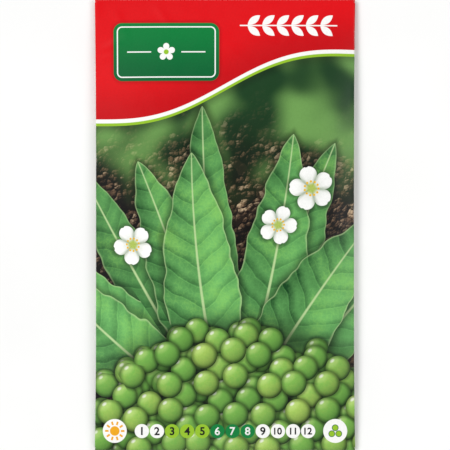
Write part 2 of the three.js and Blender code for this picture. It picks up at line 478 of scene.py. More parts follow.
def speckle(at, size, detail=2.0, rough=0.5, dimensions="2D"):
    """Noise about 0 to 1 whose largest features are about that size."""
    inputs = {"Vector": at, "Scale": 1 / size, "Detail": detail, "Roughness": rough}
    return field("TexNoise", inputs, noise_dimensions=dimensions)


def spread(noise, low=0.0, high=1.0):
    """Spreads noise, which mostly lies from 0.3 to 0.7, from low to high."""
    return ramp(noise, 0.3, 0.7, low, high)


def cells(at, size, randomness=1.0):
    """Scattered points: the vector from the nearest one, its place and its random colour."""
    inputs = {"Vector": at, "Scale": 1 / size, "Randomness": randomness}
    made = add_node(at.tree, "TexVoronoi", inputs, voronoi_dimensions="2D", feature="F1")
    centre = Field(made.outputs["Position"])
    return vectors("SUBTRACT", at, centre), centre, Field(made.outputs["Color"])


def net_edges(at, size):
    """How far a place is from the nearest line of a net, in its meshes of about that size."""
    inputs = {"Vector": at, "Scale": 1 / size}
    return field("TexVoronoi", inputs, "Distance", voronoi_dimensions="2D", feature="DISTANCE_TO_EDGE")


def srgb(red, green, blue):
    """A colour given in sRGB, 0 to 255, as linear values."""
    shares = [level / 255 for level in (red, green, blue)]
    return (*[s / 12.92 if s <= 0.04045 else ((s + 0.055) / 1.055) ** 2.4 for s in shares], 1.0)


def new_material(name):
    """An empty material and its tree."""
    material = bpy.data.materials.new(name)
    material.use_nodes = True
    material.node_tree.nodes.clear()
    return material, material.node_tree


def sheet_position(tree):
    """The place on the flat blank, in millimetres."""
    uv = Field(add_node(tree, "UVMap", {}, uv_map="sheet").outputs[0])
    return vectors("MULTIPLY_ADD", uv, (BLANK, BLANK, 0), (-BLANK / 2, -BLANK / 2, 0))


def object_position(tree):
    """The place in the packet's own frame, in millimetres."""
    metres = Field(add_node(tree, "TexCoord", {}).outputs["Object"])
    return vectors("MULTIPLY", metres, (1 / MM, 1 / MM, 1 / MM))


def finish_surface(colour, roughness, height=None, relief_depth=0.0, **constants):
    """Adds the Principled shader, a bump where there is a height, and the output."""
    inputs = {"Base Color": colour, "Roughness": roughness, **constants}
    if height is not None:
        relief = {"Height": height, "Strength": 1.0, "Distance": relief_depth}
        inputs["Normal"] = field("Bump", relief)
    shader = field("BsdfPrincipled", inputs)
    add_node(shader.tree, "OutputMaterial", {"Surface": shader})


def grained_surface(grain, dark, light, roughness, relief_depth, **constants):
    """A surface whose colour, roughness and bumps all follow one grain."""
    colour = mix(dark, light, spread(grain))
    finish_surface(colour, spread(grain, *roughness), grain, relief_depth, **constants)


# Colours of the inks

BLACK = (0.0, 0.0, 0.0, 1.0)
WHITE = srgb(250, 250, 247)
CREAM = srgb(247, 243, 228)
RED = srgb(224, 4, 16)
DEEP_RED = srgb(198, 2, 14)
LABEL_GREEN = srgb(0, 126, 58)
DARK_GREEN = srgb(0, 98, 50)
LIME = srgb(150, 196, 44)
AMBER = srgb(240, 170, 30)
INK = srgb(30, 52, 34)
NUMBER_INK = srgb(6, 8, 6)


# Shapes that the motifs share. Sizes and places in the print are in millimetres. An edge, shadow, sheen or
# fade is a ramp: its start and stop, and its values there

SOFT_EDGE = 0.08
FINE_LINE = 0.22


def cover(inside, soft=SOFT_EDGE):
    """1 inside a shape and 0 outside it, from how far a place is inside."""
    return ramp(inside, -soft, soft)


def stroke(distance, half_width=FINE_LINE):
    """1 on a line of that half width round distance zero."""
    return cover(half_width - abs(distance), 0.06)


def between(value, start, stop):
    """1 where value lies between start and stop."""
    return maths("GREATER_THAN", value, float(start)) * maths("LESS_THAN", value, float(stop))


def disc(at, centre, radius):
    """How far a place is inside a disc."""
    return radius - length_of(place(at, centre))


def rounded_box(at, centre, half_size, corner):
    """How far a place is inside a rectangle with round corners."""
    seen = vectors("ABSOLUTE", place(at, centre))
    beyond = vectors("SUBTRACT", seen, (half_size[0] - corner, half_size[1] - corner, 0))
    return corner - length_of(vectors("MAXIMUM", beyond, (0, 0, 0)))


def blade(at, foot, lean, length, half_width):
    """1 on a small leaf that grows from its foot at that lean in degrees."""
    along, across, _ = split(place(at, foot, lean))
    share = along / length
    return cover(share * (1 - share) * (4 * half_width) - abs(across))


def petal_waves(x, y, petals):
    """From 0 between two petals to 1 along the middle of one, round a flower with one petal upwards."""
    return abs(maths("COSINE", maths("ARCTAN2", x, y) * (petals / 2)))


def bent_by_noise(at, size, depth):
    """The position moved about by noise, to bend a pattern with."""
    inputs = {"Vector": at, "Scale": 1 / size}
    away = vectors("SUBTRACT", field("TexNoise", inputs, output=1, noise_dimensions="2D"), (0.5, 0.5, 0.5))
    return vectors("MULTIPLY_ADD", away, (depth,) * 3, at)


# Soil: sizes of its lumps and of what bends them. In each motif the light is a weighted sum of parts,
# from 0 in the dark colour to 1 in the light one

CLOD, CRUMB, GRAIN = 5.0, 2.0, 0.9
CRUMB_BEND, CRUMB_BEND_DEPTH = 4.0, 1.6
SOIL_PATCH = 14.0
BROWN_FADE, DRY_FADE, DAMP_FADE = (0.12, 0.9), (0.92, 1.55), (0.5, 1.0, 0.0, 0.4)
LIT_FROM = (-0.55, 0.75, 0.0)
SOIL_DEEP = srgb(12, 9, 7)
SOIL_BROWN = srgb(126, 98, 74)
SOIL_DRY = srgb(206, 180, 146)
SOIL_DAMP = srgb(52, 40, 28)


def lumps(at, size):
    """Light on scattered round lumps of about that size, around 0.5, and a random number for each lump."""
    away, _, own = cells(at, size)
    lean = vectors("DOT_PRODUCT", away, LIT_FROM, output="Value") / size
    edge = length_of(away) / size
    return 0.55 + 0.75 * lean - 0.55 * power(edge, 2.0), split(own)[0]


def soil(at):
    """Dark crumbly soil: clods, crumbs and grains, each lit from the top left."""
    bent = bent_by_noise(at, CRUMB_BEND, CRUMB_BEND_DEPTH)
    clods, clod_number = lumps(bent, CLOD)
    crumbs, crumb_number = lumps(bent, CRUMB)
    grains, _ = lumps(at, GRAIN)
    patches = speckle(at, SOIL_PATCH, 3.0)
    light = clods * 0.7 + crumbs * 0.95 + grains * 0.4 + (patches - 0.5) * 1.3 - 0.64
    colour = mix(SOIL_DEEP, SOIL_BROWN, ramp(light, *BROWN_FADE))
    colour = mix(colour, SOIL_DRY, ramp(light + crumb_number * 0.7, *DRY_FADE))
    return mix(colour, SOIL_DAMP, ramp(clod_number, *DAMP_FADE))


# Blurred greenery: size of its blobs, and where it fades in over the soil

BLOB = 20.0
BLOB_REACH = 26
FADE_IN = (18.0, 56.0)
SHADE_GREEN = srgb(24, 62, 30)
SUNLIT_GREEN = srgb(112, 160, 84)


def blurred_foliage(at, under):
    """Out of focus greenery behind the upper part."""
    at = after(at, under)
    _, v, _ = split(at)
    blobs = speckle(at, BLOB, 1.0)
    colour = mix(SHADE_GREEN, SUNLIT_GREEN, ramp(blobs, 0.3, 0.72))
    return mix(under, colour, ramp(v + blobs * BLOB_REACH, *FADE_IN))


# Fans of leaves from back to front, one leaf to a sector of that many degrees. Each leaf is shorter by
# that much than the one nearer the fan's middle

LEAF_FANS = [
    dict(sector=25, turn=5, side_leaves=2, length=112, shorter=3.5,
         half_width=10.5, bend=2.2, brightness=0.66),
    dict(sector=31, turn=-12, side_leaves=2, length=104, shorter=3.0,
         half_width=12.0, bend=-2.8, brightness=0.84),
    dict(sector=42, turn=8, side_leaves=1, length=96, shorter=5.0,
         half_width=13.5, bend=3.4, brightness=1.0),
]
LEAF_ROOT = (2, -74)
LEAF_LENGTH_SPREAD = 8.0
LEAF_SHADOW = (-3.4, 0.6, 0.0, 0.66)
LEAF_ROUND, LEAF_WIDE, LEAF_TAPER, LEAST_BEND = 0.72, 1.14, 0.3, 0.4
VEIN_STEP, VEIN_CURVE, VEIN_SLANT, VEIN_WAVER = 7.5, 1.15, 1.9, 0.12
VEIN_EDGE, RIB_EDGE, RIM_EDGE = (0.055, 0.0), (0.95, 0.45), (0.75, 0.15, 0.0, 0.5)
LEAF_DARK = srgb(12, 66, 26)
LEAF_LIGHT = srgb(120, 198, 110)
LEAF_WARM = srgb(146, 202, 84)
RIB = srgb(196, 222, 160)


def leaf_fan(
    at, under, mottle, wander, sector, turn, side_leaves, length, shorter, half_width, bend, brightness,
):
    """A fan of long leaves with their shadows, over the picture so far. mottle lightens them here and there,
    and wander waves their edges."""
    x, y, _ = split(place(after(at, under), LEAF_ROOT, 90 + turn))
    reach = power(x * x + y * y, 0.5)
    sectors = maths("ARCTAN2", y, x) / math.radians(sector)
    number = maths("ROUND", sectors)
    angle = (sectors - number) * math.radians(sector)
    own = random_number(number)
    along = reach * maths("COSINE", angle)
    share = along / (length - abs(number) * shorter + own * LEAF_LENGTH_SPREAD)
    arc = share * (1 - share)
    off = reach * maths("SINE", angle) - arc * (4 * bend) * (LEAST_BEND + own)
    side = abs(off)
    widest = half_width * LEAF_WIDE - share * (half_width * LEAF_TAPER) + wander
    half = power(most(arc * 4, 0.0), LEAF_ROUND) * widest
    fan = maths("LESS_THAN", abs(number), side_leaves + 0.5)
    inside = half - side + least(arc, 0.0) * length
    under = shade(under, 1 - fan * ramp(inside, *LEAF_SHADOW))
    colour = leaf_skin(along, off, side, share, inside, own, mottle, wander, half_width, brightness)
    return mix(under, colour, fan * ramp(inside, 0.0, FINE_LINE))


def leaf_skin(along, off, side, share, inside, own, mottle, wander, half_width, brightness):
    """A leaf's colour: quilted between its veins, with a pale midrib and rim."""
    slant = power(side, VEIN_CURVE) / (VEIN_STEP * VEIN_SLANT)
    phase = along / VEIN_STEP - slant + wander * VEIN_WAVER
    wave = maths("PINGPONG", phase, 0.5)
    vein = ramp(wave, *VEIN_EDGE)
    quilt = (maths("FRACT", phase) - 0.5) * 0.22 + ramp(wave, 0.0, 0.5, -0.08, 0.12)
    fold = ramp(off, -half_width * 0.6, half_width * 0.35, 0.12, -0.24)
    body = ramp(inside, 0.0, half_width * 0.5, -0.16, 0.0) + ramp(share, 0.0, 0.45, -0.34, 0.08)
    light = (0.56 + own * 0.12 + quilt + fold + body + mottle + vein * 0.16) * brightness
    colour = mix(LEAF_DARK, LEAF_LIGHT, light)
    colour = mix(colour, LEAF_WARM, ramp(mottle + light * 0.3, 0.12, 0.5, 0.0, 0.4))
    rim = ramp(inside, *RIM_EDGE)
    rib = ramp(side + share * 0.55, *RIB_EDGE)
    return mix(colour, RIB, most(rib * 0.85, rim * brightness))


# Blossoms: middle, turn in degrees and radius each way. Lengths within a blossom are shares of its radius

BLOSSOMS = [((31, 13), 14, (8.4, 8.2)), ((19, 0), 50, (7.3, 6.9)), ((-33, -7), 30, (7.2, 7.5))]
PETALS = 5
PETAL_FOOT, PETAL_REACH, PETAL_NOTCH = 0.52, 0.46, 0.035
PETAL_STREAKS = 61.0
STAMENS = 11
STAMEN_RING, STAMEN_SIZE = 0.3, 0.05
PETAL_SHADOW, HEART_EDGE = (-0.3, 0.05, 1.0, 0.42), (0.34, 0.12, 0.0, 0.9)
PETAL_SHADE = srgb(132, 156, 118)
PETAL_WHITE = srgb(255, 255, 252)
BLOSSOM_HEART = srgb(170, 192, 62)
STAMEN_YELLOW = srgb(236, 186, 36)


def blossoms(at, under):
    """White flowers with round petals and a ring of stamens."""
    at = after(at, under)
    seen = place(at, *BLOSSOMS[0])
    out = length_of(seen)
    for spot in BLOSSOMS[1:]:
        other = place(at, *spot)
        seen = choose(seen, other, maths("LESS_THAN", length_of(other), out))
        out = length_of(seen)
    x, y, _ = split(seen)
    petal = petal_waves(x, y, PETALS)
    reach = PETAL_FOOT + power(petal, 0.5) * PETAL_REACH - ramp(petal, 0.975, 1.0, 0.0, PETAL_NOTCH)
    inside = reach - out
    under = shade(under, ramp(inside, *PETAL_SHADOW))
    angle = maths("ARCTAN2", y, x)
    streaks = maths("SINE", angle * PETAL_STREAKS) * 0.025
    light = ramp(petal, 0.0, 0.75, 0.36, 0.92) + ramp(out, 0.2, 0.7, -0.2, 0.06) + streaks
    colour = mix(PETAL_SHADE, PETAL_WHITE, light)
    colour = mix(colour, BLOSSOM_HEART, ramp(out, *HEART_EDGE))
    turn_share = maths("FRACT", angle * (STAMENS / (2 * math.pi)) + STAMENS) - 0.5
    stamen = length_of(join(turn_share * (2 * math.pi / STAMENS * STAMEN_RING), out - STAMEN_RING))
    colour = mix(colour, STAMEN_YELLOW, cover(STAMEN_SIZE - stamen, 0.01))
    return mix(under, colour, ramp(inside, 0.0, 0.03))


# Heap of peas: the middle and half axes of its oval, and its layers from back to front. share is how much
# of the oval a layer covers

HEAP_MIDDLE = (4, -92)
HEAP_HALF_AXES = (62, 57)
PEA_LAYERS = [
    dict(spacing=10.6, shift=(3.1, 1.7), share=0.99, brightness=0.42),
    dict(spacing=10.8, shift=(7.7, -4.4), share=1.0, brightness=0.58),
    dict(spacing=11.0, shift=(-2.3, 6.1), share=0.99, brightness=0.74),
    dict(spacing=11.2, shift=(5.2, 3.3), share=0.96, brightness=0.88),
    dict(spacing=11.4, shift=(0.6, -1.2), share=0.92, brightness=1.0),
]
PEA_SCATTER = 0.42
PEA_RADIUS_SHARE = 0.4 # of a layer's spacing
PEA_SHADOW, PEA_SHADE = (1.34, 0.96), 0.6 # in radii, and how dark it is
PEA_EDGE = (0.64, 1.0, 1.0, 0.5) # in radii
PEA_SHEEN, PEA_GLINT = (0.72, 0.98, 0.0, 0.36), (0.955, 0.992, 0.0, 0.85)
HEAP_SHADOW = (1.16, 0.94, 1.0, 0.22) # in half axes of the oval
PEA_DARK = srgb(18, 62, 20)
PEA_GREEN = srgb(140, 208, 92)
PEA_YELLOW = srgb(196, 214, 104)
PEA_PALE = srgb(214, 234, 150)
PEA_GLEAM = srgb(252, 254, 240)


def pea_heap(at, under, mottle):
    """Round green peas in layers. The topmost one at each place is shaded as a ball."""
    at = after(at, under)
    top, shadow, covered = (0.0, 0.0, 0.0), 1.0, 0.0
    for layer in PEA_LAYERS:
        radius = layer["spacing"] * PEA_RADIUS_SHARE
        shift = layer["shift"]
        away, centre, own = cells(place(at, shift), layer["spacing"], PEA_SCATTER)
        distance = length_of(away)
        middle = [HEAP_MIDDLE[0] - shift[0], HEAP_MIDDLE[1] - shift[1]]
        kept = maths("LESS_THAN", length_of(place(centre, middle, 0.0, HEAP_HALF_AXES)), layer["share"])
        covers = kept * maths("LESS_THAN", distance, radius)
        common = (0.0, 0.0, layer["brightness"] * 0.8)
        pea = vectors("MULTIPLY_ADD", away, (1 / radius, 1 / radius, 0.0), common)
        pea = vectors("MULTIPLY_ADD", own, (0.0, 0.0, 0.34), pea)
        top = choose(top, pea, covers)
        start, full = PEA_SHADOW
        cast = 1 - kept * ramp(distance, radius * start, radius * full, 0.0, PEA_SHADE)
        shadow = most(covers, cast * shadow)
        covered = most(covered, covers)
    ball = shaded_pea(top, mottle)
    return mix(shade(under, shadow), shade(ball, shadow), covered)


def shaded_pea(top, mottle):
    """A pea's colour from x and y, in radii from its middle, and z, how bright it is."""
    x, y, brightness = split(top)
    distance = power(x * x + y * y, 0.5)
    stand = maths("SQRT", most(1 - distance * distance, 0.0))
    lean = y * 0.8 - x * 0.6
    light = (0.32 + stand * 0.42 + lean * 0.38 + mottle * 0.22) * brightness
    colour = mix(PEA_DARK, PEA_GREEN, light)
    colour = mix(colour, shade(PEA_YELLOW, light), ramp(brightness + mottle, 0.75, 1.25, 0.0, 0.6))
    gleam = lean * 0.77 + stand * 0.62
    colour = mix(colour, PEA_PALE, ramp(gleam, *PEA_SHEEN) * brightness)
    colour = mix(colour, PEA_GLEAM, ramp(gleam, *PEA_GLINT) * brightness)
    return shade(colour, ramp(distance, *PEA_EDGE))


def heap_shadow(at, under):
    seen = place(after(at, under), HEAP_MIDDLE, 0.0, HEAP_HALF_AXES)
    return shade(under, ramp(length_of(seen), *HEAP_SHADOW))


# Header: level at the packet's middle, slope and height of the wave, and widths of the stripes below

HEAD_MIDDLE, HEAD_SLOPE, HEAD_WAVE = 50, 0.27, 4.2
WHITE_STRIPE, LIME_STRIPE = 1.4, 1.0
HEAD_SHADOW, HEAD_FADE = (-6.5, -2.0, 1.0, 0.55), (0.0, 16.0)


def header(at, under):
    """A red band across the top over a white and a lime stripe, with a waved lower edge."""
    u, v, _ = split(after(at, under))
    lower_edge = u * HEAD_SLOPE + maths("SINE", u * (math.pi / FRONT_HALF)) * HEAD_WAVE + HEAD_MIDDLE
    inside = v - lower_edge
    under = shade(under, ramp(inside, *HEAD_SHADOW))
    under = mix(under, LIME, cover(inside + WHITE_STRIPE + LIME_STRIPE))
    under = mix(under, WHITE, cover(inside + WHITE_STRIPE))
    return mix(under, mix(DEEP_RED, RED, ramp(inside, *HEAD_FADE)), cover(inside))


# Label: its place, and a flower between two rules on it

LABEL_MIDDLE = (-21, 61.5)
LABEL_HALF = (19, 10.5)
LABEL_CORNER = 3.2
LABEL_LINE = 1.5
LABEL_SHADOW = (-1.6, 0.4, 1.0, 0.7)
FLOWER_FOOT, FLOWER_PETAL, FLOWER_HEART = 1.1, 2.1, 0.9
RULES = (5.4, 14.0)


def label(at, under):
    """A green label with a white line, a flower between two rules, and a sprig beside it."""
    at = after(at, under)
    inside = rounded_box(at, LABEL_MIDDLE, LABEL_HALF, LABEL_CORNER)
    under = shade(under, ramp(inside, *LABEL_SHADOW))
    x, y, _ = split(place(at, LABEL_MIDDLE))
    plate = mix(DARK_GREEN, LABEL_GREEN, ramp(y, -LABEL_HALF[1], LABEL_HALF[1]))
    under = mix(under, plate, cover(inside - SOFT_EDGE))
    under = mix(under, WHITE, stroke(inside - LABEL_LINE))
    out = power(x * x + y * y, 0.5)
    flower = cover(power(petal_waves(x, y, PETALS), 0.5) * FLOWER_PETAL + FLOWER_FOOT - out)
    rules = stroke(y) * between(abs(x), *RULES)
    under = mix(under, WHITE, most(flower, rules))
    under = mix(under, LIME, cover(FLOWER_HEART - out))
    return mix(under, WHITE, sprig(at))


SPRIG = (23.5, 71.0)
SPRIG_STEM = 0.23
SPRIG_PAIRS, SPRIG_STEP = 6, 5.2
SPRIG_LEAF = dict(foot=(0.2, 0.25), lean=38, length=5.6, half_width=1.25)


def sprig(at):
    """1 on a level stem with pairs of small leaves."""
    x, y, _ = split(place(at, SPRIG))
    count = x / SPRIG_STEP + SPRIG_PAIRS / 2
    leaf = blade(join(maths("FRACT", count) * SPRIG_STEP, abs(y)), **SPRIG_LEAF)
    stem = stroke(y, SPRIG_STEM) * between(count, -0.5, SPRIG_PAIRS + 0.2)
    return most(leaf * between(count, 0, SPRIG_PAIRS), stem)


# Calendar: a row of discs, the counts where each kind of month starts and ends, and a larger disc each end

MONTHS = 12
MONTH_ROW = -73.4
MONTH_PITCH = 5.4
MONTH_RADIUS = 2.55
MONTH_START = -MONTH_PITCH * MONTHS / 2
SOWING, HARVEST = (2, 5), (5, 8)
END_DISC_AWAY, END_DISC_RADIUS = 39.4, 4.3
SUN_RADIUS, SUN_RAYS, RAY_MIDDLE, RAY_HALF, RAY_WIDTH = 1.72, 10, 2.85, 0.64, 0.55
ICON_PEAS = ((-1.25, -1.0), (1.25, -1.0), (0, 1.15))
ICON_PEA_RADIUS, ICON_PEA_RIM = 1.2, 0.25


def calendar(at, under):
    """Discs for the months, coloured for sowing and harvest, and a white disc at each end."""
    at = after(at, under)
    u, up, _ = split(place(at, (0, MONTH_ROW)))
    count = (u - MONTH_START) / MONTH_PITCH
    inside = MONTH_RADIUS - length_of(join((maths("FRACT", count) - 0.5) * MONTH_PITCH, up))
    colour = mix(WHITE, LIME, between(count, *SOWING))
    colour = mix(colour, LABEL_GREEN, between(count, *HARVEST))
    under = mix(under, colour, between(count, 0, MONTHS) * cover(inside))
    for x in (-END_DISC_AWAY, END_DISC_AWAY):
        under = mix(under, WHITE, cover(disc(at, (x, MONTH_ROW), END_DISC_RADIUS)))
    return pea_icon(at, sun_icon(at, under))


def sun_icon(at, under):
    """A plain sun with rays, in the left end disc."""
    x, y, _ = split(place(after(at, under), (-END_DISC_AWAY, MONTH_ROW)))
    out = power(x * x + y * y, 0.5)
    ray_turn = maths("PINGPONG", maths("ARCTAN2", y, x) * (SUN_RAYS / (2 * math.pi)), 0.5)
    ray = cover(RAY_WIDTH - ray_turn * out) * cover(RAY_HALF - abs(out - RAY_MIDDLE))
    return mix(under, AMBER, most(ray, cover(SUN_RADIUS - out)))


def pea_icon(at, under):
    """A small pile of peas, in the right end disc."""
    at = after(at, under)
    for x, y in ICON_PEAS:
        pea = disc(at, (END_DISC_AWAY + x, MONTH_ROW + y), ICON_PEA_RADIUS)
        under = mix(under, DARK_GREEN, cover(pea))
        under = mix(under, LIME, cover(pea - ICON_PEA_RIM))
    return under


# The two prints

NET, NET_LINE = 1.5, 0.16
FINE_MOTTLE, BROAD_MOTTLE = 1.4, 15.0
EDGE_WANDER, EDGE_WANDER_DEPTH = 9.0, 4.0


def front_print(at):
    """The whole front picture."""
    colour = blurred_foliage(at, soil(at))
    net = ramp(net_edges(at, NET), 0.0, NET_LINE, 0.05, 0.0)
    mottle = (speckle(at, FINE_MOTTLE, 3.0) - 0.5) * 0.2 + (speckle(at, BROAD_MOTTLE, 1.0) - 0.5) * 0.5 + net
    wander = (speckle(at, EDGE_WANDER, 1.0) - 0.5) * EDGE_WANDER_DEPTH
    for fan in LEAF_FANS:
        colour = leaf_fan(at, colour, mottle, wander, **fan)
    colour = blossoms(at, colour)
    colour = heap_shadow(at, colour)
    colour = pea_heap(at, colour, mottle)
    colour = header(at, colour)
    colour = label(at, colour)
    return calendar(at, colour)


BACK_MIDDLE = -2 # of the cream panel along v, between the flaps
CREAM_HALF = 60
BACK_FRAME_HALF = (42, 56)
BACK_FRAME_CORNER = 4
SQUARE = 5.8
SQUARE_HALF = 0.43 # of a square's pitch
SQUARE_ROWS = ((-39.5, LIME, SOWING), (-47.0, LABEL_GREEN, HARVEST))
GROUND = 6
GROUND_HALF = (39, 7.5)
GROUND_CORNER = 2.5
SEEDLINGS, SEEDLING_STEP = 5, 13.0
SEEDLING_HEIGHT, SEEDLING_STEM = 9.0, 0.36
SEED_DEPTH, SEED_RADIUS = 7, 1.9
SEEDLING_LEAVES = [
    dict(foot=(0, 3.2), lean=38, length=4.6, half_width=1.25),
    dict(foot=(0, 6.6), lean=52, length=4.8, half_width=1.3),
    dict(foot=(0, 8.4), lean=90, length=4.4, half_width=1.2),
]
SEED_RIM = srgb(86, 120, 44)
SEED_PALE = srgb(196, 214, 120)


def back_print(at):
    """Cream between green ends, with a thin frame, seedlings in soil and two rows of month squares. Across
    the back seam, x is measured on the back itself."""
    u, v, _ = split(at)
    panel = abs(u) - FRONT_HALF - math.pi * SIDE_FOLD
    x = maths("SIGN", u) * (FRONT_HALF - panel)
    flap = ramp(abs(u), FRONT_HALF + SOFT_EDGE, FRONT_HALF)
    seen = join(x, v)
    colour = mix(CREAM, LABEL_GREEN, cover(abs(v - BACK_MIDDLE) - CREAM_HALF))
    frame_line = stroke(rounded_box(seen, (0, BACK_MIDDLE), BACK_FRAME_HALF, BACK_FRAME_CORNER))
    colour = mix(colour, LABEL_GREEN, frame_line)
    colour = seedlings(seen, colour)
    for row, tint, months in SQUARE_ROWS:
        colour = month_squares(x, v - row, colour, tint, months)
    return mix(colour, LABEL_GREEN, flap)


def seedlings(seen, under):
    """A strip of soil with peas sown in it, and a seedling over each."""
    seen = place(after(seen, under), (0, GROUND))
    x, up, _ = split(seen)
    strip = rounded_box(seen, (0, -GROUND_HALF[1]), GROUND_HALF, GROUND_CORNER)
    under = mix(under, soil(seen), cover(strip))
    count = x / SEEDLING_STEP
    aside = abs(count - maths("ROUND", count)) * SEEDLING_STEP
    kept = maths("LESS_THAN", abs(count), SEEDLINGS / 2)
    local = join(aside, up)
    seed = disc(local, (0, -SEED_DEPTH), SEED_RADIUS)
    under = mix(under, SEED_RIM, kept * cover(seed))
    under = mix(under, SEED_PALE, kept * ramp(seed, 0.2, 0.9))
    green = stroke(aside, SEEDLING_STEM) * between(up, 1 - SEED_DEPTH, SEEDLING_HEIGHT)
    for leaf in SEEDLING_LEAVES:
        green = most(green, blade(local, **leaf))
    return mix(under, LABEL_GREEN, kept * green)


def month_squares(x, up, under, tint, months):
    """A row of outlined squares, some of them filled. Seen from behind, x runs leftwards."""
    column = MONTHS / 2 - x / SQUARE
    wide, high, _ = split(vectors("ABSOLUTE", join(maths("FRACT", column) - 0.5, up / SQUARE)))
    inside = (SQUARE_HALF - most(wide, high)) * SQUARE
    in_row = between(column, 0, MONTHS)
    filled = mix(WHITE, tint, between(column, *months))
    under = mix(under, filled, in_row * cover(inside))
    return mix(under, INK, in_row * stroke(inside, SOFT_EDGE))


# Coated paper: how far from a fold's middle its ink is worn, the grains that it follows, and its coat

WEAR_REACH = 0.8
WEAR_GRAIN, WEAR_PATCH, WEAR_EDGE = 0.45, 9.0, (1.16, 1.32)
INK_GRAIN = 0.8
SHEEN_PATCH = 5.0
FIBRE, FIBRE_DEPTH = 0.35, 0.0015
COAT = {"Coat Weight": 0.06, "Coat Roughness": 0.22, "Specular IOR Level": 0.17}


def wear(at, u, v):
    """Where the ink has cracked to the white paper: fine specks along the folds."""
    side = abs(abs(u) - FRONT_HALF - SIDE_FOLD * math.pi / 2)
    end = abs(abs(v) - FOLD_Y - END_FOLD * math.pi / 2)
    near = ramp(least(side, end), WEAR_REACH, 0.0, 0.0, 0.6)
    grain = speckle(at, WEAR_GRAIN, 3.0, 0.7) + speckle(at, WEAR_PATCH, 1.0) * 0.9
    return near * ramp(grain, *WEAR_EDGE)


def coated_paper(at, colour):
    """Coated paper in that colour, with a faint grain in its ink and with worn folds."""
    at = after(at, colour)
    u, v, _ = split(at)
    worn = wear(at, u, v)
    inked = shade(colour, spread(speckle(at, INK_GRAIN, 3.0, 0.6), 0.95, 1.0))
    roughness = spread(speckle(at, SHEEN_PATCH), 0.4, 0.48) + worn * 0.3
    fibres = speckle(at, FIBRE, 2.0, 0.6)
    finish_surface(mix(inked, WHITE, worn), roughness, fibres, FIBRE_DEPTH * MM, **COAT)


def printed_paper(name, picture):
    material, tree = new_material(name)
    at = sheet_position(tree)
    coated_paper(at, picture(at))
    return material


PAPER_FIBRE, EDGE_FIBRE = 0.6, 0.25
RAW_FIBRE_DEPTH = 0.02 * MM


def plain_inside():
    material, tree = new_material("plain_paper_inside")
    fibres = speckle(sheet_position(tree), PAPER_FIBRE, 5.0, 0.7)
    dark, light = srgb(238, 236, 228), srgb(250, 249, 244)
    grained_surface(fibres, dark, light, (0.8, 0.9), RAW_FIBRE_DEPTH)
    return material


def cut_edge():
    material, tree = new_material("cut_paper_edge")
    fibres = speckle(object_position(tree), EDGE_FIBRE, 4.0, 0.7, "3D")
    dark, light = srgb(226, 222, 212), srgb(250, 249, 245)
    grained_surface(fibres, dark, light, (0.8, 0.95), RAW_FIBRE_DEPTH)
    return material


# Dried peas

PEA_SUBDIVISIONS = 3
DENT_SPREAD, DENT_DEPTH = 1.3, 0.09 # waves over a pea of radius 1, and share of the radius
WRINKLE_SPREAD, WRINKLE_DEPTH, WRINKLE_WIDTH = 3.4, 0.035, 0.25
DENTS_APART, WRINKLES_APART = 3.1, 2.3 # from one pea's noise to the next one's
SCAR_EDGE, SCAR_SLOPE, SCAR_RISE = 0.93, 0.5, 0.3 # cosine at its edge, how flat it is, and its tilt


def wrinkled_pea(node, middle, radius, number, skin):
    """A dried pea inside its node's ball, with noise for wrinkles and a small flat scar."""
    shape = bmesh.new()
    bmesh.ops.create_icosphere(shape, subdivisions=PEA_SUBDIVISIONS, radius=1)
    scar = Vector((math.cos(number), math.sin(number), SCAR_RISE)).normalized()
    for vertex in shape.verts:
        outward = vertex.co.normalized()
        dent = max(0, noise.noise(outward * DENT_SPREAD + Vector((number * DENTS_APART, 0, 0))))
        wrinkle = abs(noise.noise(outward * WRINKLE_SPREAD + Vector((0, number * WRINKLES_APART, 0))))
        reach = 1 - DENT_DEPTH * dent - WRINKLE_DEPTH * (1 - min(1, wrinkle / WRINKLE_WIDTH))
        reach -= SCAR_SLOPE * max(0, outward.dot(scar) - SCAR_EDGE)
        vertex.co = outward * reach
    vertices = [np.array(vertex.co) * radius + middle for vertex in shape.verts]
    faces = [[vertex.index for vertex in face.verts] for face in shape.faces]
    shape.free()
    make_piece("dried_" + node, vertices, faces, [skin], [node])


PEA_PATCH, PORE, PORE_DEPTH = 3.2, 0.35, 0.03 * MM


def dried_pea_skin():
    material, tree = new_material("dried_pea_skin")
    at = object_position(tree)
    patches = speckle(at, PEA_PATCH, 3.0, 0.6, "3D")
    pores = speckle(at, PORE, 2.0, 0.6, "3D")
    colour = mix(srgb(150, 160, 92), srgb(214, 214, 160), spread(patches))
    colour = mix(colour, srgb(226, 218, 178), ramp(pores, 0.55, 0.75, 0.0, 0.35))
    finish_surface(colour, spread(patches, 0.5, 0.62), pores, PORE_DEPTH)
    return material


def make_peas():
    skin = dried_pea_skin()
    for number, (node, row) in enumerate(zip(PEA_NODES, PEAS)):
        low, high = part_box(node)
        wrinkled_pea(node, row[:3], min(high - low) / 2 / MM, number, skin)


# Dried glue. Its edges wander by a share of its half width, in waves

GLUE_WANDER, GLUE_WAVES = 0.04, 0.3
GLUE_SHARE = 0.9 # of the node's thickness


def flap_level(y):
    return np.full(y.shape, HALF)


# Each line's node, its cells along x and along y, and the level of the paper under it
GLUE_LINES = [
    ("seam_glue", 8, 120, back_level), ("bottom_flap_glue", 60, 8, flap_level),
    ("top_flap_glue", 60, 8, flap_level),
]


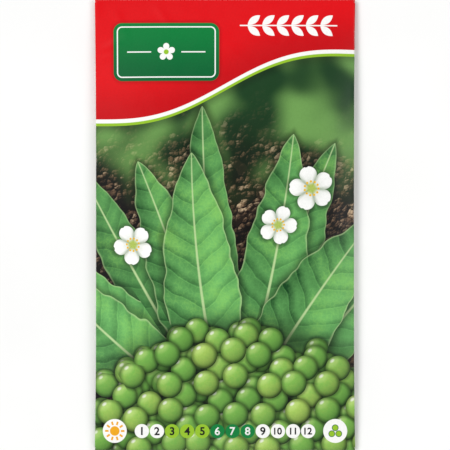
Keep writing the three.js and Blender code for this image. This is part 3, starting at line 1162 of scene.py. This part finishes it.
def glue_strip(node, cells_x, cells_y, level, number, skin):
    """A flat line of glue in its node's place, with edges that wander as a poured line's do."""
    low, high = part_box(node)
    xs = np.linspace(low.x / MM, high.x / MM, cells_x + 1)
    ys = np.linspace(low.y / MM, high.y / MM, cells_y + 1)
    x, y = np.meshgrid(xs, ys)
    middle_x, middle_y = (xs[0] + xs[-1]) / 2, (ys[0] + ys[-1]) / 2
    for j in range(x.shape[0]):
        for i in range(x.shape[1]):
            wave = Vector((xs[i] * GLUE_WAVES, ys[j] * GLUE_WAVES, number))
            wander = GLUE_WANDER * (1 + noise.noise(wave))
            x[j, i] -= (x[j, i] - middle_x) * wander
            y[j, i] -= (y[j, i] - middle_y) * wander
    points = np.stack([x, y, level(y) + LAYER / 2], axis=-1)
    vertices, faces, kinds, _ = thicken(points, GLUE * GLUE_SHARE)
    strip = make_piece("dried_" + node, vertices, faces, [skin], [node])
    strip.polygons.foreach_set("use_smooth", kinds != CUT_EDGE)


def make_glue():
    skin = dried_glue_skin()
    for number, line in enumerate(GLUE_LINES):
        glue_strip(*line, number, skin)


GLUE_STREAK, GLUE_DEPTH = 2.4, 0.03 * MM


def dried_glue_skin():
    material, tree = new_material("dried_glue")
    streaks = speckle(object_position(tree), GLUE_STREAK, 3.0, 0.6, "3D")
    grained_surface(streaks, srgb(214, 204, 172), srgb(240, 235, 216), (0.25, 0.45), GLUE_DEPTH)
    return material


# Numbers of the months, as a film of ink on the front

NUMBER_SIZE = 4.0 # of the font's square
NARROW_SHARE = 0.85 # of that size, for a number of two digits
INK_FILM = 0.045
INK_SUNK = 0.03
HEAVIER = 0.022 # how much its strokes are widened, in the font's own units


def number_mesh(text):
    """The outline of a plain number as a flat mesh, in the font's own units."""
    curve = bpy.data.curves.new("number", "FONT")
    curve.body = text
    curve.align_x = "CENTER"
    curve.align_y = "CENTER"
    curve.offset = HEAVIER
    writer = add_object("number", curve)
    graph = bpy.context.evaluated_depsgraph_get()
    mesh = bpy.data.meshes.new_from_object(writer.evaluated_get(graph))
    vertices = np.array([vertex.co for vertex in mesh.vertices])
    faces = [list(face.vertices) for face in mesh.polygons]
    bpy.data.objects.remove(writer)
    bpy.data.curves.remove(curve)
    bpy.data.meshes.remove(mesh)
    return vertices, faces


def lay_on_front(u, v, rise):
    """Points at places u and v of the print, that far above the front's outer surface."""
    x = u / FRONT_HALF * side_fold_x(v)
    return np.stack([x, v, front_height(x, v) + HALF + rise], axis=-1)


def slab_faces(faces, count):
    """Faces of a slab: a flat mesh of that many vertices, over a copy whose vertices follow them."""
    edges = {(face[k - 1], face[k]) for face in faces for k in range(len(face))}
    outer = [(start, stop) for start, stop in sorted(edges) if (stop, start) not in edges]
    below = [[corner + count for corner in reversed(face)] for face in faces]
    return faces + below + [[stop, start, start + count, stop + count] for start, stop in outer]


def make_numbers():
    vertices, faces, pale = [], [], []
    for month in range(MONTHS):
        text = str(month + 1)
        outline, outline_faces = number_mesh(text)
        outline_faces = slab_faces(outline_faces, len(outline))
        size = NUMBER_SIZE * (NARROW_SHARE if len(text) == 2 else 1)
        middle = outline.min(0) / 2 + outline.max(0) / 2
        u = MONTH_START + (month + 0.5) * MONTH_PITCH + (outline[:, 0] - middle[0]) * size
        v = MONTH_ROW + (outline[:, 1] - middle[1]) * size
        faces += [[corner + len(vertices) for corner in face] for face in outline_faces]
        pale += [HARVEST[0] <= month < HARVEST[1]] * len(outline_faces)
        vertices += lay_on_front(u, v, INK_FILM).tolist() + lay_on_front(u, v, -INK_SUNK).tolist()
    dark_ink = number_ink("dark_ink", NUMBER_INK, srgb(20, 24, 20))
    white_ink = number_ink("white_ink", srgb(240, 242, 238), WHITE)
    mesh = make_piece("month_numbers", vertices, faces, [dark_ink, white_ink])
    mesh.polygons.foreach_set("material_index", np.array(pale, np.int32))
    mesh.update()


NUMBER_GRAIN, NUMBER_DEPTH = 0.5, 0.004 * MM


def number_ink(name, dark, light):
    material, tree = new_material(name)
    grain = speckle(object_position(tree), NUMBER_GRAIN, 3.0, 0.6, "3D")
    grained_surface(grain, dark, light, (0.36, 0.44), NUMBER_DEPTH, **COAT)
    return material


# Camera, floor and lights

FLOOR_HALF = 2.0


def make_camera():
    data = bpy.data.cameras.new("camera")
    data.lens = LENS
    data.sensor_width = SENSOR
    camera = add_object("camera", data)
    camera.location = (0, 0, FRAME_LEVEL + FRAME_HEIGHT * LENS / SENSOR)
    bpy.context.scene.camera = camera


def make_floor():
    far = FLOOR_HALF
    mesh = bpy.data.meshes.new("floor")
    mesh.from_pydata([(-far, -far, 0), (far, -far, 0), (far, far, 0), (-far, far, 0)], [], [(0, 1, 2, 3)])
    floor = add_object("floor", mesh)
    material, tree = new_material("pale_floor")
    grain = speckle(object_position(tree), 60.0, 2.0, 0.5, "3D")
    colour = mix(srgb(247, 247, 246), srgb(250, 250, 249), spread(grain))
    finish_surface(colour, spread(grain, 0.75, 0.85))
    mesh.materials.append(material)


# Soft lamps round the packet: strength, and degrees clockwise from its top edge. LAMP_HEIGHT is how high
# they stand for each 1 away
LAMPS = [("key", 1.5, -45), ("fill", 0.75, 80), ("left", 0.75, -120), ("low", 0.6, 160)]
LAMP_HEIGHT = 0.78
LAMP_SPREAD = math.radians(28)
ROOM_LIGHT = 0.36


def make_lamp(name, energy, azimuth):
    data = bpy.data.lights.new(name, "SUN")
    data.energy = energy
    data.angle = LAMP_SPREAD
    turn = math.radians(azimuth)
    towards = Vector((math.sin(turn), math.cos(turn), LAMP_HEIGHT))
    add_object(name, data).rotation_euler = towards.to_track_quat("Z", "Y").to_euler()


def make_lights():
    world = bpy.data.worlds.new("soft_studio")
    world.use_nodes = True
    backdrop = world.node_tree.nodes["Background"]
    backdrop.inputs["Color"].default_value = (1, 1, 1, 1)
    backdrop.inputs["Strength"].default_value = ROOM_LIGHT
    bpy.context.scene.world = world
    for lamp in LAMPS:
        make_lamp(*lamp)
    bpy.context.scene.view_settings.view_transform = "Standard"


make_camera()
make_sheet()
make_numbers()
make_peas()
make_glue()
make_floor()
make_lights()
